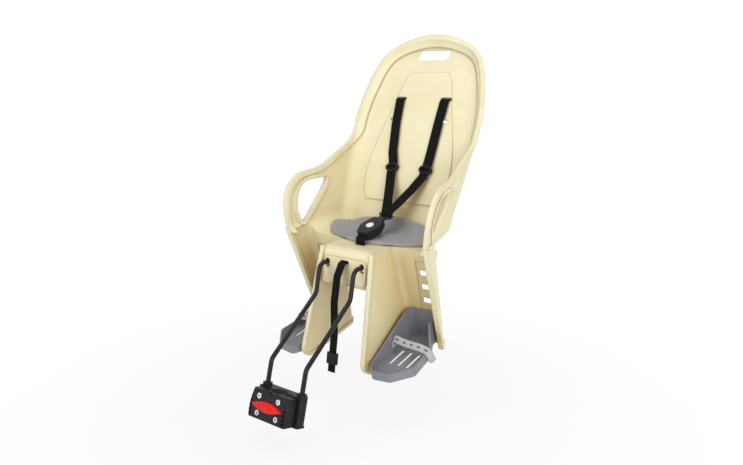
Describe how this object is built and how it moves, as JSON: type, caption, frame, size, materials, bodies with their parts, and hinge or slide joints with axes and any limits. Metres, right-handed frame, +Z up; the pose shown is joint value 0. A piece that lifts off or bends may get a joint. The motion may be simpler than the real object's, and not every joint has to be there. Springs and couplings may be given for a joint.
{
  "type": "child bike seat",
  "caption": "Rear child bike seat: moulded bucket with high back and leg guards, pad, harness with press buckle, sliding footrests, and a wire carrier latched in a tube clamp.",
  "frame": {"origin": "middle of the seat tube clamp, on the tube's axis", "axes": "+X to the seated child's left, -Y forward along the bike, +Z up"},
  "size_m": [0.4106, 0.587, 0.7942],
  "materials": {
    "ivory_shell": "satin",
    "grey_pad": "matte",
    "black_wire": "satin",
    "black_plastic": "matte",
    "steel": "satin",
    "liner_rubber": "matte",
    "red_button": "gloss",
    "grey_footrest": "matte",
    "grey_strap": "matte",
    "white_button": "gloss",
    "webbing": "matte"
  },
  "bodies": {
    "seat": {"seat_shell": "ivory_shell", "seat_pad": "grey_pad", "carrier_wire": "black_wire", "carrier_clamp_front": "black_plastic", "carrier_clamp_rear": "black_plastic", "carrier_screws": "steel", "mount_block": "black_plastic", "clamp_plate": "black_plastic", "clamp_screws": "steel", "clamp_nuts": "steel", "tube_liner_rear": "liner_rubber", "tube_liner_front": "liner_rubber", "latch_spring": "steel", "shoulder_strap_left": "webbing", "shoulder_strap_right": "webbing", "strap_slider_left": "black_plastic", "strap_slider_right": "black_plastic", "strap_anchors": "steel", "tongue_left": "black_plastic", "tongue_right": "black_plastic", "buckle_front": "black_plastic", "buckle_rear": "black_plastic", "buckle_spring": "steel", "crotch_strap": "webbing", "crotch_anchor": "steel", "safety_strap": "webbing", "safety_anchor": "steel", "safety_buckle": "black_plastic"},
    "footrest_left_body": {"footrest_left": "grey_footrest", "foot_strap_left": "grey_strap"},
    "footrest_right_body": {"footrest_right": "grey_footrest", "foot_strap_right": "grey_strap"},
    "latch": {"release_button": "red_button", "latch_plate": "steel"},
    "button": {"buckle_button": "white_button"}
  },
  "joints": [
    {"name": "footrest_left_height", "type": "slide", "parent": "seat", "child": "footrest_left_body", "axis": [0, -0.2521, 0.9677], "range_m": [0, 0.099]},
    {"name": "footrest_right_height", "type": "slide", "parent": "seat", "child": "footrest_right_body", "axis": [0, -0.2521, 0.9677], "range_m": [0, 0.099]},
    {"name": "latch_press", "type": "slide", "parent": "seat", "child": "latch", "axis": [0, 0.9703, -0.2419], "range_m": [0, 0.004], "stiffness_N_per_m": 2500, "deforming": ["latch_spring"]},
    {"name": "buckle_press", "type": "slide", "parent": "seat", "child": "button", "axis": [0, 0.3746, -0.9272], "range_m": [0, 0.003], "stiffness_N_per_m": 1500, "deforming": ["buckle_spring"]}
  ]
}
